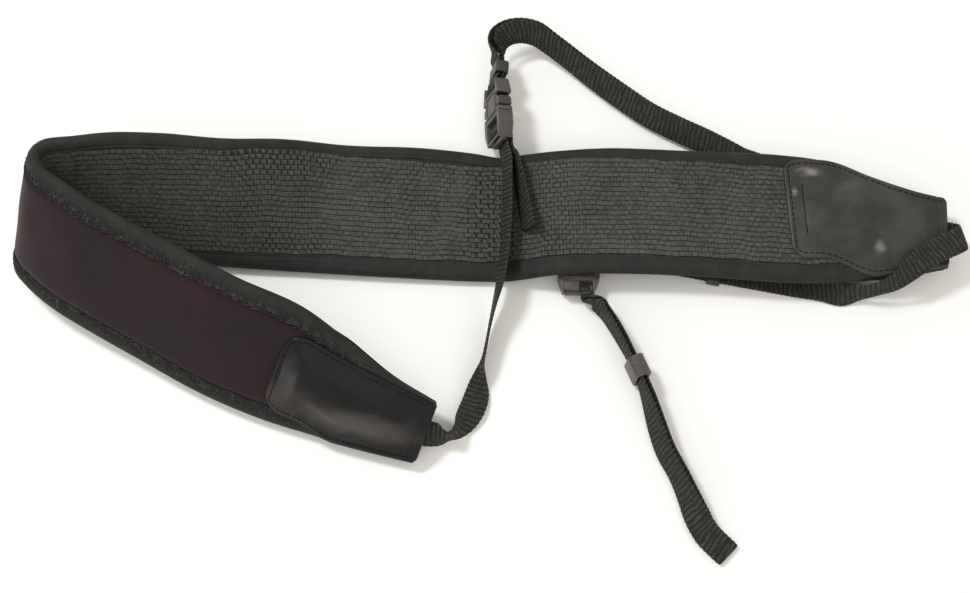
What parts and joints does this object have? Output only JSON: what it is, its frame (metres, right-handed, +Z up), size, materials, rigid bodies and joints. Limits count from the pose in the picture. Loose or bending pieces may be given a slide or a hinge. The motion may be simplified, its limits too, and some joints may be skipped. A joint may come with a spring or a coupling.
{
  "type": "binocular strap",
  "caption": "Padded neck strap for binoculars, lying doubled over: a bound neoprene band with leatherette tabs, narrow webbing, side release buckles and detachable loops.",
  "frame": {"origin": "middle of the strap's footprint, on the surface it lies on", "axes": "+X along the back run towards the right-hand tab, +Y away from the viewer towards the back loop, +Z up"},
  "size_m": [0.373, 0.223, 0.0507],
  "materials": {
    "neoprene": "matt smooth neoprene with a knitted face",
    "grip_mesh": "matt ribbed grip mesh",
    "binding_tape": "satin woven edge tape",
    "leatherette": "grained leatherette, half gloss",
    "webbing": "ribbed nylon webbing",
    "black_plastic": "moulded acetal, satin"
  },
  "bodies": {
    "root": {"pad_foam": "neoprene", "pad_lining": "grip_mesh", "binding_lower": "binding_tape", "binding_upper": "binding_tape", "tab_right_inner": "leatherette", "tab_right_outer": "leatherette", "tab_front_inner": "leatherette", "tab_front_outer": "leatherette", "webbing_front": "webbing", "webbing_right": "webbing", "loop_back": "webbing", "loop_front": "webbing", "buckle_back_latch": "black_plastic", "buckle_back_socket": "black_plastic", "buckle_front_latch": "black_plastic", "buckle_front_socket": "black_plastic", "keeper_back": "black_plastic", "keeper_front": "black_plastic", "keeper_right": "black_plastic"}
  },
  "joints": []
}
